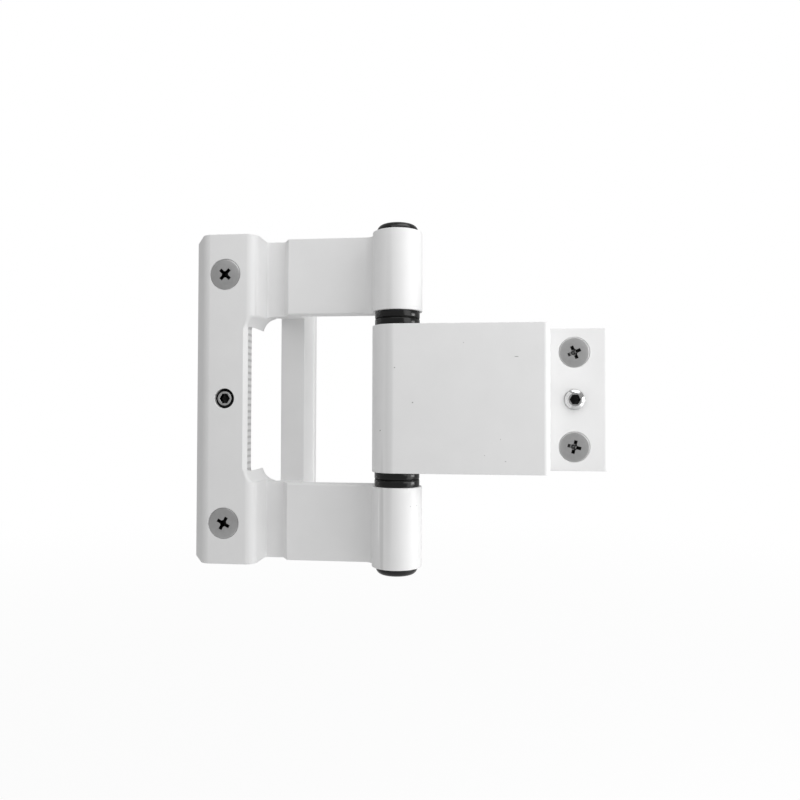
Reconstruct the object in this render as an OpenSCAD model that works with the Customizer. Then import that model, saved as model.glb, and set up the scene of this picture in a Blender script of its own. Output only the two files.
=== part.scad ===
// Surface-mounted door hinge with three knuckles on one pin.
// A tall left leaf carries the upper and lower knuckle, a short right leaf the middle one.
// The origin is the centre of the left fixing screws, on the plane where both leaves meet the door.
// +X runs along the leaves, -Y faces away from the door, +Z runs up along the pin.

/* [Knuckles and pin] */
// Outside diameter of the knuckles
barrel_d = 15; // [14.5:0.1:17]
// Length of the middle knuckle, which is the height of the right leaf
mid_len = 43.7; // [34:0.1:60]
// Length of each outer knuckle
end_len = 23.85; // [23:0.05:36]
// Height of the pin's axis above the door
axis_height = 12.2; // [11:0.1:15]
// Diameter of the pin
pin_d = 8; // [6:0.1:8.5]
// Chamfer at each end of the pin
pin_chamfer = 0.6; // [0.2:0.1:1]

/* [Bushes, washers and caps] */
// Wall of the bushes round the pin
bush_wall = 0.95; // [0.7:0.05:1.2]
// Length of each flanged bush inside its knuckle
flanged_bush_len = 9; // [5:0.1:9.2]
// Length of each plain bush at the outer end of its knuckle
plain_bush_len = 9.2; // [7:0.1:9.4]
// Diameter of the bush flanges
flange_d = 13.5; // [12:0.1:14.4]
// Thickness of the bush flanges
flange_t = 1.95; // [1:0.05:3]
// Diameter of the thin thrust washers between two flanges
washer_d = 13.8; // [11:0.1:14.5]
// Thickness of the thrust washers
washer_t = 0.3; // [0.2:0.05:0.8]
// Diameter of the end caps
cap_d = 12.5; // [11:0.1:14]
// Height of the end caps' straight rim
cap_rim_h = 0.3; // [0.2:0.1:2]
// Radius of the end caps' rounded edge above the rim
cap_edge_r = 2; // [1:0.1:4]
// Length of the end caps' stem inside the plain bush
cap_stem_len = 3; // [1.5:0.1:4]

/* [Left leaf] */
// Wall at the sides of the pad's channel
pad_wall = 2.6; // [2.2:0.1:3.5]
// Wall between the pad's face and its channel
face_wall = 4.2; // [3:0.1:4.8]
// Distance from the screw line to the pad's outer side
pad_outer = 13; // [12:0.1:18]
// Height of the pad's upright foot
foot_h = 5.45; // [4.5:0.05:8]
// Lean of the pad's outer flank from upright, in degrees
flank_lean = 30; // [10:1:33]
// Radius where the outer flank meets the pad's face
flank_r = 3.5; // [1:0.1:4]
// Radius where the inner side meets the pad's face
shoulder_r = 3.2; // [1:0.1:3.4]
// Thickness of the groove's floor beside the pad
floor_t = 5.1; // [4:0.1:6]
// Width of the groove's floor
floor_w = 5.8; // [4:0.1:8]
// Width of the sloping step between groove and web
step_run = 2; // [1:0.1:4]
// Thickness of the web that carries the knuckles
web_t = 4; // [3:0.1:5]
// Distance from the pad's inner side to the rib
rib_offset = 3.2; // [2:0.1:4]
// Width of the rib behind the leaf
rib_w = 7.7; // [5:0.1:10]
// Height of the rib behind the door's face
rib_h = 16; // [8:0.5:24]
// How far the bead at the rib's end stands out
bead_out = 0.5; // [0.2:0.1:1]
// Length of the bead at the rib's end
bead_len = 3.6; // [2:0.1:6]
// Width of the relief groove between seat and rib
relief_w = 1.6; // [0.8:0.1:1.9]
// Depth of the relief groove between seat and rib
relief_depth = 1.2; // [0.5:0.1:2]
// Corner radius of the milled window
window_r = 5; // [2:0.5:8]
// Chamfer on the window's front edges along the web
window_chamfer = 0.5; // [0.2:0.1:0.8]
// Chamfer round the window's edge on the pad's face
pad_edge_chamfer = 1.25; // [0.5:0.05:1.4]

/* [Right leaf] */
// Thickness of the front plate
plate_t = 3.5; // [3:0.1:4.5]
// Distance from the pin's axis to the step at the plate's end
plate_reach = 44.7; // [38:0.1:56]
// Wall of the step behind the plate's end
step_wall = 3.2; // [2.5:0.1:4.5]
// Radius on the plate's outer edge
plate_edge_r = 2; // [0.5:0.1:2.4]
// Thickness of the strap that is screwed to the door
strap_t = 3; // [2.8:0.1:4]
// Length of the strap beyond the step
strap_len = 19.5; // [16:0.1:30]
// Radius on the strap's outer edge
strap_edge_r = 1.9; // [0.5:0.1:2.4]

/* [Fillets] */
// Fillet between the web and the knuckle
knuckle_fillet_r = 3; // [0.5:0.1:3.4]
// Fillet in the inner corners of the leaves
inner_fillet_r = 0.8; // [0.3:0.1:1.2]

/* [Fixings] */
// Diameter of the countersunk screws' shank
screw_d = 5; // [4.4:0.1:5.2]
// How far the screws' plain neck is cut in under the thread's outside
neck_cut = 0.3; // [0.2:0.05:0.5]
// Diameter of the countersunk heads
head_d = 9.2; // [8:0.1:9.3]
// Height of the heads' straight land
head_land = 0.25; // [0.1:0.05:0.4]
// Length of the left screws
left_screw_len = 30; // [24:1:45]
// Length of the right screws
right_screw_len = 16; // [10:1:30]
// Chamfer at the screws' points
screw_tip = 0.8; // [0.3:0.1:1.2]
// Distance from the window to the left screw line
left_margin = 7; // [6:0.1:9]
// Distance from the leaf's ends to the left screws
left_end_margin = 12.25; // [7:0.05:16]
// Distance from the step to the right screw line
right_margin = 8.8; // [7:0.1:9.5]
// Distance from the leaf's ends to the right screws
right_end_margin = 7.35; // [6:0.05:9]
// Width of the cross recess from wing to wing
cross_span = 4.3; // [3:0.1:5]
// Width of each wing
cross_wing = 1.05; // [0.6:0.05:1.4]
// Depth of the cross recess
cross_depth = 2.2; // [1:0.1:3]
// Width of the cross recess at its bottom
cross_foot = 1.9; // [1:0.1:2.6]
// Diameter of the cross recess's round middle
cross_core = 1.9; // [1.2:0.1:2.6]
// Turn of each recess, upper left, lower left, upper right and lower right
cross_turns = [47, 61, 24, 76]; // [0:1:90]

/* [Set screws] */
// Diameter of the set screws in the leaves
set_d = 6; // [5:0.1:6.5]
// Length of the left set screw
left_set_len = 12; // [8:1:16]
// Length of the right set screw
right_set_len = 5; // [4:1:10]
// Depth of the left set screw below the pad's face
left_set_sink = 0.3; // [0:0.1:1]
// How far the right set screw stands out of the strap
right_set_proud = 2; // [0:0.1:3]
// Width across the flats of their socket
set_socket = 3; // [2.5:0.1:3.4]
// Depth of their socket
set_socket_depth = 2.4; // [1:0.1:3]
// Diameter of the grub screw that holds the pin
grub_d = 4; // [3.5:0.1:4.5]
// Depth of the grub screw below the knuckle's back
grub_sink = 0.3; // [0:0.1:0.6]
// Width across the flats of the grub screw's socket
grub_socket = 2; // [1.5:0.1:2.2]
// Depth of the grub screw's socket
grub_socket_depth = 1.6; // [1:0.1:2]
// Chamfer at the ends of set and grub screws
set_chamfer = 0.4; // [0.2:0.1:0.6]

/* [Clearances] */
// Radial running clearance between pin and bushes
pin_gap = 0.05; // [0.02:0.01:0.1]
// Radial clearance of pieces that stay seated
seat_gap = 0.02; // [0.01:0.01:0.05]
// End play between a thrust washer and the bush flange that turns on it
thrust_gap = 0.1; // [0.05:0.05:0.3]
// Gap between the pin's ends and the cap stems
pin_end_gap = 0.3; // [0.1:0.1:1]
// Gap between the right leaf's step and the window as the hinge folds
swing_gap = 0.6; // [0.5:0.1:2]
// Gap between the pad's face and the folded strap
fold_gap = 4.8; // [3:0.1:7]
// How far the milling reaches past the door's face
mill_over = 0.2; // [0.1:0.1:1]
// How far the milling reaches past the pad's inner wall
mill_trim = 0.1; // [0.05:0.05:0.5]
// Clearance round the countersunk heads
head_gap = 0.1; // [0.05:0.05:0.2]
// Radial clearance round the screws' shanks
shank_gap = 0.25; // [0.1:0.05:0.4]

/* [Hidden] */
$fn = 72;

// Overshoot of cuts past the faces that they open
cut = 1;
// Small overlap of pieces that are joined into one solid
join = 0.05;
// Overlap of a fillet's circle with the knuckle that it touches
lap = 0.001;
// Sides of a hexagon socket
hex_sides = 6;

white = [0.93, 0.93, 0.92];
black = [0.09, 0.09, 0.1];
steel = [0.62, 0.62, 0.63];
dark_steel = [0.36, 0.37, 0.38];

// Heights along the pin
knuckle_gap = 2 * flange_t + washer_t + thrust_gap;
window_half = mid_len / 2 + knuckle_gap;
leaf_half = window_half + end_len;
pin_half = leaf_half - cap_stem_len - pin_end_gap;
grub_z = (window_half + flanged_bush_len + leaf_half - plain_bush_len) / 2;
left_screw_z = leaf_half - left_end_margin;
right_screw_z = mid_len / 2 - right_end_margin;

// Radii round the pin's axis
barrel_r = barrel_d / 2;
pin_r = pin_d / 2;
bush_in_r = pin_r + pin_gap;
bush_out_r = bush_in_r + bush_wall;
bore_r = bush_out_r + seat_gap;

// Places along X, from the left screw line
window_x = left_margin;
axis_x = window_x + swing_gap + plate_reach;
wall_in_x = window_x + mill_trim;
wall_out_x = wall_in_x + pad_wall;
floor_end_x = wall_out_x + floor_w;
web_start_x = floor_end_x + step_run;
rib_left_x = wall_out_x + rib_offset;
rib_right_x = rib_left_x + rib_w;
step_x = axis_x + plate_reach;
right_fix_x = step_x + right_margin;
strap_end_x = step_x + strap_len;

// Places along Y, from the door's face
axis_y = -axis_height;
pad_face_y = strap_t + fold_gap - 2 * axis_height;
web_back_y = axis_y + barrel_r;
web_front_y = web_back_y - web_t;
plate_front_y = axis_y - barrel_r;
plate_back_y = plate_front_y + plate_t;

function unit(v) = v / norm(v);

// Distance from a corner to where its rounding starts on each edge
function corner_run(corner, toward_a, toward_b, radius) =
    radius / tan(acos(unit(toward_a - corner) * unit(toward_b - corner)) / 2);

// Centre of a corner's rounding
function corner_centre(corner, toward_a, toward_b, radius) =
    corner + unit(unit(toward_a - corner) + unit(toward_b - corner))
        * norm([radius, corner_run(corner, toward_a, toward_b, radius)]);

// Points that stand in an outline for an inner corner, whose circle is then cut away
function inner_corner(corner, toward_a, toward_b, radius) = [
    corner + unit(toward_a - corner) * corner_run(corner, toward_a, toward_b, radius),
    corner_centre(corner, toward_a, toward_b, radius),
    corner + unit(toward_b - corner) * corner_run(corner, toward_a, toward_b, radius)
];

// The circle that hollows an inner corner
module inner_corner_cut(corner, toward_a, toward_b, radius) {
    translate(corner_centre(corner, toward_a, toward_b, radius)) circle(r = radius);
}

// The sliver that is cut from an outer corner to round it
module outer_corner_cut(corner, toward_a, toward_b, radius) {
    run = corner_run(corner, toward_a, toward_b, radius);
    centre = corner_centre(corner, toward_a, toward_b, radius);
    difference() {
        polygon([
            corner + unit(corner - centre) * cut, corner + unit(toward_a - corner) * run,
            centre, corner + unit(toward_b - corner) * run
        ]);
        translate(centre) circle(r = radius);
    }
}

// Centre of the fillet between a knuckle and a wall's face at wall_y, on the given side in X and Y
function knuckle_fillet_centre(wall_y, side_x, side_y) = [
    axis_x + side_x * sqrt(pow(barrel_r + knuckle_fillet_r - lap, 2)
        - pow(wall_y + side_y * knuckle_fillet_r - axis_y, 2)),
    wall_y + side_y * knuckle_fillet_r
];

// A solid of revolution whose profile is [radius, height] points, standing along +Y
module turned_along_y(profile) {
    rotate([-90, 0, 0]) rotate_extrude() polygon(profile);
}

// Section of the left leaf: pad with its channel, groove, web, rib and knuckle
module left_section() {
    foot = [-pad_outer, 0];
    knee = [-pad_outer, -foot_h];
    flank_top = [-pad_outer + (-foot_h - pad_face_y) * tan(flank_lean), pad_face_y];
    shoulder = [wall_out_x, pad_face_y];
    groove_left = [wall_out_x, -floor_t];
    groove_right = [floor_end_x, -floor_t];
    web_start = [web_start_x, web_front_y];
    knuckle_centre = knuckle_fillet_centre(web_front_y, -1, -1);
    web_back = [axis_x, web_back_y];
    rib_root = [rib_right_x, web_back_y];
    bead_x = rib_right_x + bead_out;
    bead_start_y = rib_h - bead_len;
    rib_end_right = [bead_x, rib_h];
    rib_end_left = [rib_left_x, rib_h];
    relief_x = rib_left_x - relief_w;
    channel_y = pad_face_y + face_wall;
    knee_in = [-pad_outer + pad_wall, -foot_h + pad_wall * (1 - sin(flank_lean)) / cos(flank_lean)];
    flank_top_in = [knee_in[0] + (knee_in[1] - channel_y) * tan(flank_lean), channel_y];
    shoulder_in = [wall_in_x, channel_y];
    seat_in = [wall_in_x, 0];
    difference() {
        union() {
            translate([axis_x, axis_y]) circle(d = barrel_d);
            polygon(concat(
                [foot, knee, flank_top, shoulder],
                inner_corner(groove_left, shoulder, groove_right, inner_fillet_r),
                [groove_right, web_start, [knuckle_centre[0], web_front_y], knuckle_centre],
                [[axis_x, axis_y], web_back],
                inner_corner(rib_root, web_back, [rib_right_x, 0], inner_fillet_r),
                [[rib_right_x, bead_start_y], [bead_x, bead_start_y + bead_out]],
                [rib_end_right, rib_end_left],
                [[rib_left_x, -relief_depth], [relief_x, -relief_depth], [relief_x, 0], seat_in],
                inner_corner(shoulder_in, seat_in, flank_top_in, inner_fillet_r),
                inner_corner(flank_top_in, shoulder_in, knee_in, inner_fillet_r),
                [knee_in, [knee_in[0], 0]]
            ));
        }
        outer_corner_cut(flank_top, knee, shoulder, flank_r);
        outer_corner_cut(shoulder, flank_top, groove_left, shoulder_r);
        outer_corner_cut(rib_end_right, [bead_x, 0], rib_end_left, inner_fillet_r);
        outer_corner_cut(rib_end_left, rib_end_right, [rib_left_x, 0], inner_fillet_r);
        inner_corner_cut(groove_left, shoulder, groove_right, inner_fillet_r);
        inner_corner_cut(rib_root, web_back, [rib_right_x, 0], inner_fillet_r);
        inner_corner_cut(shoulder_in, seat_in, flank_top_in, inner_fillet_r);
        inner_corner_cut(flank_top_in, shoulder_in, knee_in, inner_fillet_r);
        translate(knuckle_centre) circle(r = knuckle_fillet_r);
    }
}

// Window that lets the right leaf fold into the left one, with round inner corners
module window_cut() {
    top_left = [window_x, window_half];
    bottom_left = [window_x, -window_half];
    top_right = [axis_x + barrel_d, window_half];
    bottom_right = [axis_x + barrel_d, -window_half];
    translate([0, mill_over, 0]) rotate([90, 0, 0])
        linear_extrude(height = mill_over + cut + barrel_r - axis_y)
            difference() {
                polygon([bottom_left, bottom_right, top_right, top_left]);
                outer_corner_cut(top_left, top_right, bottom_left, window_r);
                outer_corner_cut(bottom_left, bottom_right, top_left, window_r);
            }
}

// Chamfer along the window's edge on the front of the web
module window_edge_cut(side) {
    reach = knuckle_fillet_centre(web_front_y, -1, -1)[0] - window_chamfer - web_start_x;
    translate([web_start_x, web_front_y, side * window_half])
        rotate([0, 90, 0]) linear_extrude(height = reach)
            polygon([
                [side * join, -join],
                [-side * (window_chamfer + join), -join],
                [side * join, window_chamfer + join]
            ]);
}

// Chamfer round the window's edge on the pad's face, along its left side and both corners
module pad_edge_cut() {
    straight_half = window_half - window_r;
    depth = pad_edge_chamfer + join;
    translate([window_x, pad_face_y, -straight_half]) linear_extrude(height = 2 * straight_half)
        polygon([[-depth, -join], [join, -join], [join, depth]]);
    for (side = [-1, 1]) translate([window_x + window_r, pad_face_y, side * straight_half])
        turned_along_y([
            [0, -join], [window_r + depth, -join], [window_r - join, depth], [0, depth]
        ]);
}

// Countersunk hole for a fixing screw, from the leaf's face towards the door
module screw_hole(x, face_y, z) {
    head_r = head_d / 2 + head_gap;
    hole_r = screw_d / 2 + shank_gap;
    translate([x, face_y, z]) turned_along_y([
        [0, -cut], [head_r, -cut], [head_r, head_land],
        [hole_r, head_land + head_r - hole_r], [hole_r, -face_y + cut], [0, -face_y + cut]
    ]);
}

// Tapped hole for a set screw, from the leaf's face towards the door
module set_hole(x, face_y) {
    translate([x, face_y - cut, 0]) rotate([-90, 0, 0])
        cylinder(h = cut - face_y + cut, d = set_d + 2 * seat_gap);
}

module left_leaf() {
    color(white) difference() {
        translate([0, 0, -leaf_half]) linear_extrude(height = 2 * leaf_half) left_section();
        window_cut();
        for (side = [-1, 1]) window_edge_cut(side);
        pad_edge_cut();
        translate([axis_x, axis_y, -leaf_half - cut]) cylinder(h = 2 * (leaf_half + cut), r = bore_r);
        for (side = [-1, 1]) screw_hole(0, pad_face_y, side * left_screw_z);
        set_hole(0, pad_face_y);
        translate([axis_x, axis_y, grub_z]) rotate([-90, 0, 0])
            cylinder(h = barrel_r + cut, d = grub_d + 2 * seat_gap);
    }
}

// Section of the right leaf: knuckle, front plate, step and strap
module right_section() {
    plate_corner = [step_x, plate_front_y];
    step_foot = [step_x, -strap_t];
    strap_corner = [strap_end_x, -strap_t];
    step_in_x = step_x - step_wall;
    step_in_top = [step_in_x, plate_back_y];
    knuckle_centre = knuckle_fillet_centre(plate_back_y, 1, 1);
    difference() {
        union() {
            translate([axis_x, axis_y]) circle(d = barrel_d);
            polygon(concat(
                [[axis_x, axis_y], [axis_x, plate_front_y], plate_corner],
                inner_corner(step_foot, plate_corner, strap_corner, inner_fillet_r),
                [strap_corner, [strap_end_x, 0], [step_in_x, 0]],
                inner_corner(step_in_top, [step_in_x, 0], [axis_x, plate_back_y], inner_fillet_r),
                [[knuckle_centre[0], plate_back_y], knuckle_centre]
            ));
        }
        outer_corner_cut(plate_corner, [axis_x, plate_front_y], step_foot, plate_edge_r);
        outer_corner_cut(strap_corner, step_foot, [strap_end_x, 0], strap_edge_r);
        inner_corner_cut(step_foot, plate_corner, strap_corner, inner_fillet_r);
        inner_corner_cut(step_in_top, [step_in_x, 0], [axis_x, plate_back_y], inner_fillet_r);
        translate(knuckle_centre) circle(r = knuckle_fillet_r);
    }
}

module right_leaf() {
    color(white) difference() {
        translate([0, 0, -mid_len / 2]) linear_extrude(height = mid_len) right_section();
        translate([axis_x, axis_y, -mid_len / 2 - cut]) cylinder(h = mid_len + 2 * cut, r = bore_r);
        for (side = [-1, 1]) screw_hole(right_fix_x, -strap_t, side * right_screw_z);
        set_hole(right_fix_x, -strap_t);
    }
}

module hinge_pin() {
    end_r = pin_r - pin_chamfer;
    shoulder_z = pin_half - pin_chamfer;
    color(steel) translate([axis_x, axis_y, 0]) rotate_extrude() polygon([
        [0, -pin_half], [end_r, -pin_half], [pin_r, -shoulder_z],
        [pin_r, shoulder_z], [end_r, pin_half], [0, pin_half]
    ]);
}

// Bush whose flange lies on a knuckle's end at height z, its body running the way of side
module flanged_bush(z, side) {
    color(black) translate([axis_x, axis_y, z]) mirror([0, 0, side < 0 ? 1 : 0])
        difference() {
            union() {
                cylinder(h = flanged_bush_len, r = bush_out_r);
                translate([0, 0, -flange_t]) cylinder(h = flange_t, d = flange_d);
            }
            translate([0, 0, -flange_t - cut])
                cylinder(h = flanged_bush_len + flange_t + 2 * cut, r = bush_in_r);
        }
}

// Plain bush whose outer end is flush with an outer knuckle's end
module plain_bush(side) {
    color(black) translate([axis_x, axis_y, side * (leaf_half - plain_bush_len / 2)])
        difference() {
            cylinder(h = plain_bush_len, r = bush_out_r, center = true);
            cylinder(h = plain_bush_len + 2 * cut, r = bush_in_r, center = true);
        }
}

// Thin washer that lies on the flange of an outer knuckle's bush
module thrust_washer(side) {
    middle_z = window_half - flange_t - washer_t / 2;
    color(dark_steel) translate([axis_x, axis_y, side * middle_z])
        difference() {
            cylinder(h = washer_t, d = washer_d, center = true);
            cylinder(h = washer_t + 2 * cut, r = bush_in_r, center = true);
        }
}

// Plug with a rounded edge that closes an outer knuckle, with its stem in the plain bush
module end_cap(side) {
    cap_r = cap_d / 2;
    cap_top = [cap_r, cap_rim_h + cap_edge_r];
    stem_r = bush_in_r - seat_gap;
    color(black) translate([axis_x, axis_y, side * leaf_half]) mirror([0, 0, side < 0 ? 1 : 0])
        rotate_extrude() difference() {
            polygon([
                [0, -cap_stem_len], [stem_r, -cap_stem_len], [stem_r, 0],
                [cap_r, 0], cap_top, [0, cap_top[1]]
            ]);
            outer_corner_cut(cap_top, [0, cap_top[1]], [cap_r, 0], cap_edge_r);
        }
}

// Recess for a cross-head driver, cut down from a head that lies at z = 0
module cross_recess(turn) {
    for (quarter = [0, 90]) rotate([0, 0, quarter - turn]) rotate([90, 0, 0])
        linear_extrude(height = cross_wing, center = true)
            polygon([
                [-cross_span / 2, -cut], [cross_span / 2, -cut], [cross_span / 2, 0],
                [cross_foot / 2, cross_depth], [-cross_foot / 2, cross_depth],
                [-cross_span / 2, 0]
            ]);
    translate([0, 0, -join])
        cylinder(h = cross_depth + join, r1 = cross_core / 2, r2 = cross_core / 3);
}

// Countersunk screw, flush with the leaf's face, whose plain neck passes the leaf's wall
module fixing_screw(x, face_y, z, wall, length, turn) {
    head_r = head_d / 2;
    shank_r = screw_d / 2;
    neck_r = shank_r - neck_cut;
    cone_end = head_land + head_r - neck_r;
    neck_end = max(wall, cone_end + join);
    color(steel) translate([x, face_y, z]) rotate([-90, 0, 0]) difference() {
        rotate_extrude() polygon([
            [0, 0], [head_r, 0], [head_r, head_land], [neck_r, cone_end],
            [neck_r, neck_end], [shank_r, neck_end + neck_cut],
            [shank_r, length - screw_tip], [shank_r - screw_tip, length], [0, length]
        ]);
        cross_recess(turn);
    }
}

// Headless screw with a hexagon socket in the end that lies at z = 0
module socket_screw(diameter, length, socket, socket_depth) {
    r = diameter / 2;
    socket_r = socket / 2 / cos(180 / hex_sides);
    difference() {
        rotate_extrude() polygon([
            [0, 0], [r - set_chamfer, 0], [r, set_chamfer],
            [r, length - set_chamfer], [r - set_chamfer, length], [0, length]
        ]);
        translate([0, 0, -cut]) cylinder(h = cut + socket_depth, r = socket_r, $fn = hex_sides);
    }
}

module left_set_screw() {
    color(dark_steel) translate([0, pad_face_y + left_set_sink, 0]) rotate([-90, 0, 0])
        socket_screw(set_d, left_set_len, set_socket, set_socket_depth);
}

module right_set_screw() {
    color(dark_steel) translate([right_fix_x, -strap_t - right_set_proud, 0]) rotate([-90, 0, 0])
        socket_screw(set_d, right_set_len, set_socket, set_socket_depth);
}

// Screw in the back of the upper knuckle, which bears on the pin
module pin_grub_screw() {
    length = barrel_r - grub_sink - pin_r - pin_gap;
    color(dark_steel) translate([axis_x, axis_y + barrel_r - grub_sink, grub_z])
        rotate([90, 0, 0]) socket_screw(grub_d, length, grub_socket, grub_socket_depth);
}

left_leaf();
right_leaf();
hinge_pin();
plain_bush(1);  // upper_plain_bush
flanged_bush(window_half, 1);  // upper_flanged_bush
flanged_bush(mid_len / 2, -1);  // middle_upper_bush
flanged_bush(-mid_len / 2, 1);  // middle_lower_bush
flanged_bush(-window_half, -1);  // lower_flanged_bush
plain_bush(-1);  // lower_plain_bush
thrust_washer(1);  // upper_thrust_washer
thrust_washer(-1);  // lower_thrust_washer
end_cap(1);  // upper_end_cap
end_cap(-1);  // lower_end_cap
fixing_screw(0, pad_face_y, left_screw_z, face_wall, left_screw_len, cross_turns[0]);  // upper_left_screw
fixing_screw(0, pad_face_y, -left_screw_z, face_wall, left_screw_len, cross_turns[1]);  // lower_left_screw
fixing_screw(right_fix_x, -strap_t, right_screw_z, strap_t, right_screw_len, cross_turns[2]);  // upper_right_screw
fixing_screw(right_fix_x, -strap_t, -right_screw_z, strap_t, right_screw_len, cross_turns[3]);  // lower_right_screw
left_set_screw();
right_set_screw();
pin_grub_screw();
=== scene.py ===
"""Dressed model of a surface-mounted door hinge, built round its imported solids."""

import logging
import math
from collections.abc import Callable
from dataclasses import dataclass
from enum import Enum

import bpy
from mathutils import Euler, Matrix, Vector


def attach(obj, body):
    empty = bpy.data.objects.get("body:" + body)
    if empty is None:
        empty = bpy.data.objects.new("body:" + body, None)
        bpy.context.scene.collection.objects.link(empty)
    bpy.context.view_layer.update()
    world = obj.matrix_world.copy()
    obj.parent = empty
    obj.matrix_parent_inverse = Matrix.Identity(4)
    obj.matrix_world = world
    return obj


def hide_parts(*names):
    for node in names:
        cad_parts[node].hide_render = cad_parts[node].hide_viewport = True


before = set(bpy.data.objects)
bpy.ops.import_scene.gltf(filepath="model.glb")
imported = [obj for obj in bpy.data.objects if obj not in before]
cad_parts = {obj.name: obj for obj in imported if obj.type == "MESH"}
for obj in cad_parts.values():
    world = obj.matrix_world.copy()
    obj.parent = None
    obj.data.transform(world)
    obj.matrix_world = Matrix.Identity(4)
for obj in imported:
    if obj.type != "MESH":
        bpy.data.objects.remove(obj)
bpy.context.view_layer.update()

LOG = logging.getLogger("hinge")
MM = 0.001
# Sides of a turned piece.
SIDES = 96
# Where the pin's axis runs, in millimetres from the left screws' line and the door's face.
AXIS = (52.3, -12.2)
# A mix node's colour sockets by number, since its other sockets have the same names.
MIX_A, MIX_B, MIXED = 6, 7, 2


class Body(Enum):
    """The two bodies of the hinge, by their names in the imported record."""

    FIXED = "fixed_leaf"
    MOVING = "moving_leaf"


class Slot(Enum):
    """The record's material slots."""

    COAT = "leaf_coat"
    NYLON = "black_nylon"
    PIN = "pin_steel"
    SCREW = "screw_zinc"
    SET_SCREW = "set_screw_steel"


class Way(Enum):
    """Which way a bush or cap points along the pin."""

    UP = 1
    DOWN = -1


def linear(colour: str) -> tuple[float, float, float, float]:
    """Turn a colour as it is written into the light values that a shader takes.

    Args:
        colour: An sRGB colour as six hex digits after a hash.

    Returns:
        Linear red, green, blue and an alpha of one.
    """
    parts = [int(colour[i : i + 2], 16) / 255 for i in (1, 3, 5)]
    # The numbers are those of the sRGB standard's curve.
    light = [p / 12.92 if p <= 0.04045 else ((p + 0.055) / 1.055) ** 2.4 for p in parts]
    return (*light, 1.0)


def add_node(
    tree: bpy.types.NodeTree, kind: str, inputs: dict | None = None, **settings: object
) -> bpy.types.Node:
    """Add a shader node with its settings, values and links.

    Args:
        tree: The node tree that takes it.
        kind: The node's type name.
        inputs: Values or other nodes' output sockets, by input name or number.
        **settings: The node's own properties.

    Returns:
        The new node.
    """
    node = tree.nodes.new(kind)
    for name, value in settings.items():
        setattr(node, name, value)
    for key, value in (inputs or {}).items():
        if isinstance(value, bpy.types.NodeSocket):
            tree.links.new(value, node.inputs[key])
        else:
            node.inputs[key].default_value = value
    return node


def activate(piece: bpy.types.Object) -> None:
    """Select one piece alone and make it the active one.

    Args:
        piece: The piece to work on.
    """
    bpy.ops.object.select_all(action="DESELECT")
    piece.select_set(True)
    bpy.context.view_layer.objects.active = piece


def pick_faces(piece: bpy.types.Object, test: Callable[[Vector, Vector], bool]) -> None:
    """Enter edit mode with only those faces selected that pass a test.

    Args:
        piece: The piece whose faces are tested.
        test: Takes a face's centre, in millimetres, and its normal.
    """
    activate(piece)
    bpy.ops.object.mode_set(mode="EDIT")
    bpy.ops.mesh.select_mode(type="FACE")
    bpy.ops.mesh.select_all(action="DESELECT")
    bpy.ops.object.mode_set(mode="OBJECT")
    for face in piece.data.polygons:
        face.select = test(face.center / MM, face.normal)
    bpy.ops.object.mode_set(mode="EDIT")


def modify(piece: bpy.types.Object, kind: str, **settings: object) -> None:
    """Give a piece a modifier and apply it.

    Args:
        piece: The piece to change.
        kind: The modifier's type name.
        **settings: The modifier's own properties.
    """
    activate(piece)
    modifier = piece.modifiers.new(kind.lower(), kind)
    for name, value in settings.items():
        setattr(modifier, name, value)
    bpy.ops.object.modifier_apply(modifier=modifier.name)


def carve(piece: bpy.types.Object, cutter: bpy.types.Object) -> None:
    """Cut one solid out of another and drop the cutter.

    Args:
        piece: The solid that is cut.
        cutter: The solid that is taken away.
    """
    modify(piece, "BOOLEAN", operation="DIFFERENCE", solver="EXACT", object=cutter)
    bpy.data.objects.remove(cutter)


def turned(
    name: str, rings: list[tuple[float, float]], sides: int = SIDES, hollow: bool = False
) -> bpy.types.Object:
    """Turn a piece about the Z axis: one circle, extruded and scaled from ring to ring.

    Args:
        name: The piece's name.
        rings: Radius and height of each ring, in millimetres.
        sides: How many sides each ring has.
        hollow: Whether the rings close on themselves round a bore, with no end faces.

    Returns:
        The closed piece, with its faces outwards.
    """
    bpy.ops.object.select_all(action="DESELECT")
    radius, height = rings[0]
    bpy.ops.mesh.primitive_circle_add(
        vertices=sides,
        radius=radius * MM,
        location=(0, 0, height * MM),
        fill_type="NOTHING" if hollow else "NGON",
    )
    piece = bpy.context.object
    piece.name = piece.data.name = name
    bpy.ops.object.transform_apply(location=True)
    bpy.ops.object.mode_set(mode="EDIT")
    bpy.ops.mesh.select_mode(type="VERT")
    bpy.ops.mesh.select_all(action="SELECT")
    for next_radius, next_height in rings[1:]:
        bpy.ops.mesh.extrude_region_move(
            TRANSFORM_OT_translate={"value": (0, 0, (next_height - height) * MM)}
        )
        scale = next_radius / radius
        bpy.ops.transform.resize(
            value=(scale, scale, 1), center_override=(0, 0, next_height * MM)
        )
        radius, height = next_radius, next_height
    if hollow:
        bpy.ops.mesh.select_mode(type="EDGE")
        bpy.ops.mesh.select_all(action="DESELECT")
        bpy.ops.mesh.select_non_manifold()
        bpy.ops.mesh.bridge_edge_loops()
    bpy.ops.mesh.select_all(action="SELECT")
    bpy.ops.mesh.normals_make_consistent(inside=False)
    bpy.ops.object.mode_set(mode="OBJECT")
    return piece


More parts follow.
